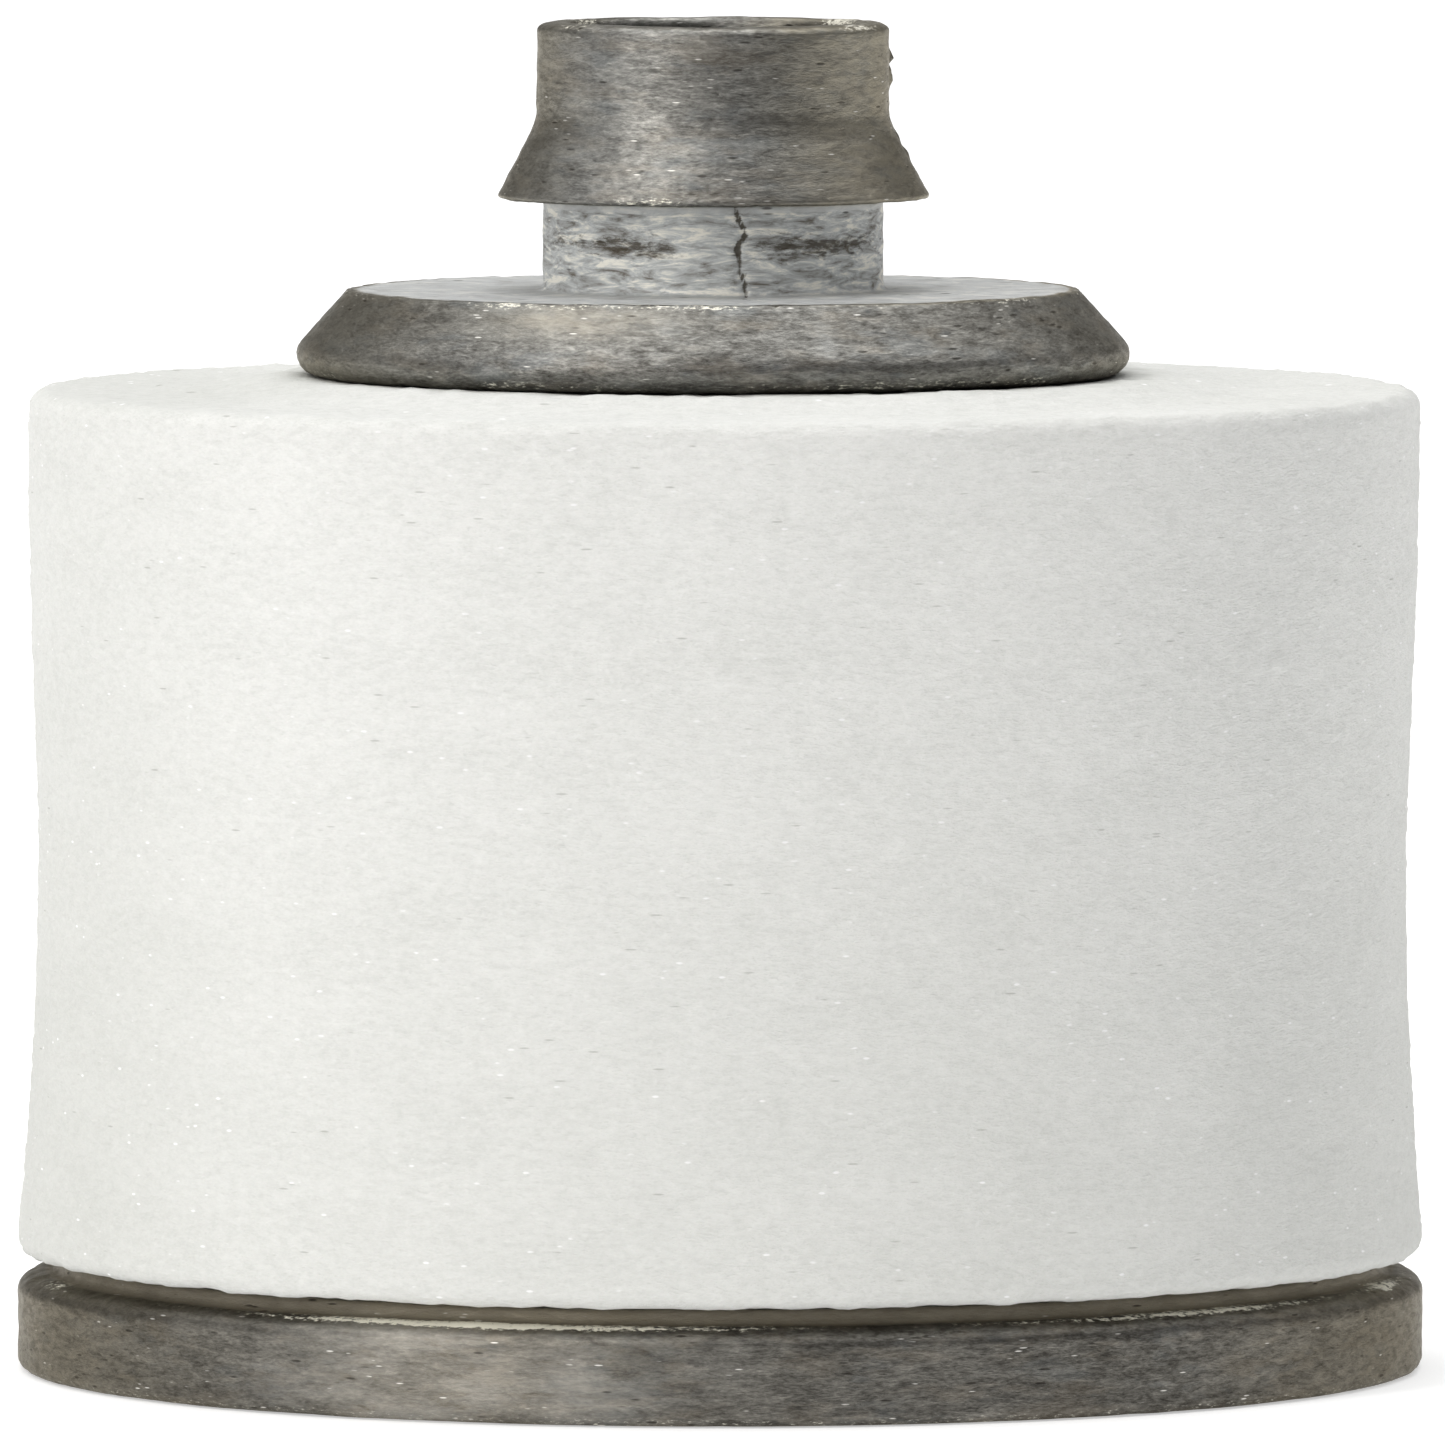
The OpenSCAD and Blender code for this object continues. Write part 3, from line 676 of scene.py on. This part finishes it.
def disc_shape(points, a, r, z, nr, nz):
    """The disc's cast surface and nicks, with its masks: knocks and a painted highlight along the rim,
    dust, partly a painted highlight, in front, and warmth. It has no dirt or painted shade.
    """
    outer = smooth(r, 4.6, 5.4)
    push = outer * layered(points, (0.012, (2.2, 2.2, 0.9), 51), (0.010, (0.7, 0.7, 0.3), 52),
                           (0.008, (0.3, 0.3, 0.14), 53))
    rim = bell(z, RIM_Z - 0.05, 0.05) * smooth(r, LAND_R + 0.1, LAND_R + 0.25)
    foot = bell(z, 0.06, 0.1) * smooth(r, 11.5, 11.85)
    around = np.stack([np.cos(a) * 12, np.sin(a) * 12, z * 0], 1)
    nicks = (np.clip(noise(around, (0.9, 0.9, 1), 54) - 0.3, 0, 1)
             + 0.5 * np.clip(noise(around, (0.35, 0.35, 1), 55) - 0.3, 0, 1))
    push -= outer * 0.05 * nicks * (rim + 0.5 * foot)
    # the underside stays flat enough to stand on, and the recess clears its gasket
    push = np.where(z < 0.02, np.minimum(push, 0) * 0.5, push)
    push = np.where((nz > 0.8) & (r < LAND_R - 0.1), np.minimum(push, 0), push)
    # a painted highlight: a thin bright line along the rim, brightest in two places in front; and
    # knocks at its ends
    patch = np.clip(0.5 + 0.6 * noise(around, (2.6, 2.6, 1), 56), 0, 1)
    front = facing(a, -0.36, 0.3) + 0.7 * facing(a, 0.8, 0.22)
    across = np.abs(np.cos(a))
    ragged = 0.45 + 0.55 * noise(around, (0.3, 0.3, 1), 57)
    rim_highlight_line = bell(z, RIM_Z - 0.03, 0.028 + 0.02 * front) * smooth(r, LAND_R + 0.1, LAND_R + 0.2)
    ends = bell(across, 0.965, 0.02) * smooth(z, RIM_Z - 0.16, RIM_Z - 0.05)
    ends = ends * smooth(r, LAND_R, LAND_R + 0.2)
    wear_and_highlight = np.clip(rim_highlight_line * (0.25 * patch + 0.75 * front * (0.75 + 0.25 * ragged))
                   + 0.6 * ends * ragged + 0.15 * foot, 0, 1)
    # dust on the band above the shoulder; on the left of the front, pale warm dust set where the key
    # light's highlight falls, partly a painted highlight
    band = (z > RIM_Z - 0.02) * (r > LAND_R - 0.2) * smooth(LAND_R + 0.3 - r, 0, 0.12)
    bright = facing(a, -0.4, 0.3)
    cloudy = smooth(noise(points, (1.2, 1.2, 0.5), 58), -0.6, 0.6)
    pale_and_sheen = np.maximum(0.36 * band, 0.27 * bright * cloudy * outer)
    warm = np.maximum(0.6 * smooth(across, 0.6, 0.95) + 0.45 * bright, band)
    return push, np.stack([wear_and_highlight, pale_and_sheen, a * 0, warm], 1)


# ---------------------------------------------------------------- building

zinc = zinc_material("weathered_zinc", (1.0, 1.0, 1.0))
# a darker copy for the disc: painted shade
zinc_shaded_copy = zinc_material("zinc_with_shade_painted", (0.68, 0.66, 0.635))
porous = porous_material()
dark_seal = seal_material("dark_seal", (0.03, 0.028, 0.025), (0.075, 0.07, 0.062))
red_seal = seal_material("red_seal", (0.2, 0.045, 0.03), (0.42, 0.13, 0.09))
plated = steel_material("plated_steel", (0.42, 0.42, 0.41), (0.68, 0.68, 0.66), 0.3)
screen_wire = steel_material("screen_wire", (0.5, 0.49, 0.46), (0.75, 0.74, 0.7), 0.35)
screw_steel = steel_material("screw_steel", (0.4, 0.39, 0.34), (0.68, 0.66, 0.6), 0.28)
spring_steel = steel_material("spring_steel", (0.2, 0.2, 0.19), (0.42, 0.42, 0.4), 0.35)

head = turned("barbed_head_casting", head_profile(), HEAD_COLUMNS, head_shape, loop=False)
cut_windows(head)
sleeve = turned("porous_sleeve_body", sleeve_profile(), SLEEVE_COLUMNS, sleeve_shape, loop=True)
disc = turned("base_disc_casting", disc_profile(), DISC_COLUMNS, disc_shape, loop=True)

for piece, node, material, slot in (
        (head, "barbed_head", zinc, "zinc_casting"),
        (sleeve, "porous_sleeve", porous, "porous_white"),
        (disc, "base_disc", zinc_shaded_copy, "zinc_casting")):
    piece.data.materials.clear()
    piece.data.materials.append(material)
    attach(piece, "root")
    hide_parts(node)

for node, material in (
        ("head_gasket", dark_seal), ("base_gasket", dark_seal), ("foot_seal", red_seal),
        ("support_cage", plated), ("mesh_screen", screen_wire), ("tie_screw", screw_steel),
        ("lock_washer", spring_steel), ("flat_washer", plated)):
    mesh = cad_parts[node].data
    mesh.materials.clear()
    mesh.materials.append(material)

# ---------------------------------------------------------------- floor, light and camera

floor_half, floor_z = 8.0, -0.02 * MM     # just under the base, so that the two don't flicker
floor_mesh = bpy.data.meshes.new("floor")
corners = ((-1, -1), (1, -1), (1, 1), (-1, 1))
floor_mesh.from_pydata([(x * floor_half, y * floor_half, floor_z) for x, y in corners],
                       [], [(0, 1, 2, 3)])
floor = bpy.data.objects.new("floor", floor_mesh)
bpy.context.scene.collection.objects.link(floor)
floor_mesh.materials.append(floor_material())

world = bpy.data.worlds.new("studio")
bpy.context.scene.world = world
world.use_nodes = True


def studio_world(tree):
    """A white room: bright overhead and at the horizon, and dim behind the camera to the right."""
    def node(kind, *values, **settings):
        made = tree.nodes.new(kind)
        for key, value in settings.items():
            setattr(made, key, value)
        for socket, value in zip(made.inputs, values):
            if isinstance(value, bpy.types.NodeSocket):
                tree.links.new(value, socket)
            elif value is not None:
                socket.default_value = value
        return made.outputs

    def share(value, low, high):
        return node("ShaderNodeMapRange", value, low, high, 0.0, 1.0,
                    interpolation_type="SMOOTHSTEP")["Result"]

    def toward(level, factor, other):
        return node("ShaderNodeMapRange", factor, 0.0, 1.0, level, other)["Result"]

    way = node("ShaderNodeTexCoord")["Generated"]
    darkness = node("ShaderNodeVectorMath", way, DARK_WAY, operation="DOT_PRODUCT")["Value"]
    split = node("ShaderNodeSeparateXYZ", way)
    off_level = node("ShaderNodeMath", split[2], operation="ABSOLUTE")[0]
    level = toward(ROOM_LIGHT, share(darkness, 0.1, 0.85), ROOM_DARK)
    shaded = toward(1.0, share(darkness, 0.3, 0.85), TOP_SHADED)
    level = toward(level, share(split[1], -0.1, 0.7), BACK_LIGHT)
    level = toward(level, share(split[2], 0.4, 0.8), TOP_LIGHT)
    level = node("ShaderNodeMath", level, shaded, operation="MULTIPLY")[0]
    horizon = toward(HORIZON_LIGHT, share(darkness, 0.2, 0.8), HORIZON_DARK)
    level = node("ShaderNodeMix", share(off_level, 0.03, 0.12), None, horizon, level,
                 data_type="FLOAT")[0]
    background = tree.nodes["Background"]
    background.inputs["Color"].default_value = (1, 1, 1, 1)
    tree.links.new(level, background.inputs["Strength"])


studio_world(world.node_tree)


def softbox(name, place, target, width, height, watts, colour=(1, 1, 1), lean=0.0):
    """An area lamp at place, in metres, turned to its target and then tipped by lean degrees."""
    light = bpy.data.lights.new(name, "AREA")
    light.shape, light.size, light.size_y = "RECTANGLE", width, height
    light.energy, light.color = watts, colour
    lamp = bpy.data.objects.new(name, light)
    lamp.location = place
    lamp.rotation_euler = (Vector(target) - Vector(place)).to_track_quat("-Z", "Y").to_euler()
    lamp.rotation_euler.rotate_axis("Z", math.radians(lean))
    bpy.context.scene.collection.objects.link(lamp)


softbox("key", place=(-0.345, -0.42, 0.3), target=(0, 0, 0.012), width=0.09, height=0.62,
        watts=1.58, colour=(1.0, 0.975, 0.94), lean=12)
softbox("top", place=(0.0, 0.25, 0.7), target=(0, 0.15, 0), width=0.6, height=0.6, watts=1.6)

lens_mm, camera_place, looks_down = 628.8, (0.00004, -0.430, 0.038), 3.594
camera = bpy.data.objects.new("camera", bpy.data.cameras.new("camera"))
bpy.context.scene.collection.objects.link(camera)
camera.data.lens, camera.data.sensor_width = lens_mm, 36
camera.data.clip_start, camera.data.clip_end = 0.01, 50
camera.location = camera_place
camera.rotation_euler = (math.radians(90 - looks_down), 0, 0)
bpy.context.scene.camera = camera
bpy.context.scene.view_settings.view_transform = "Standard"
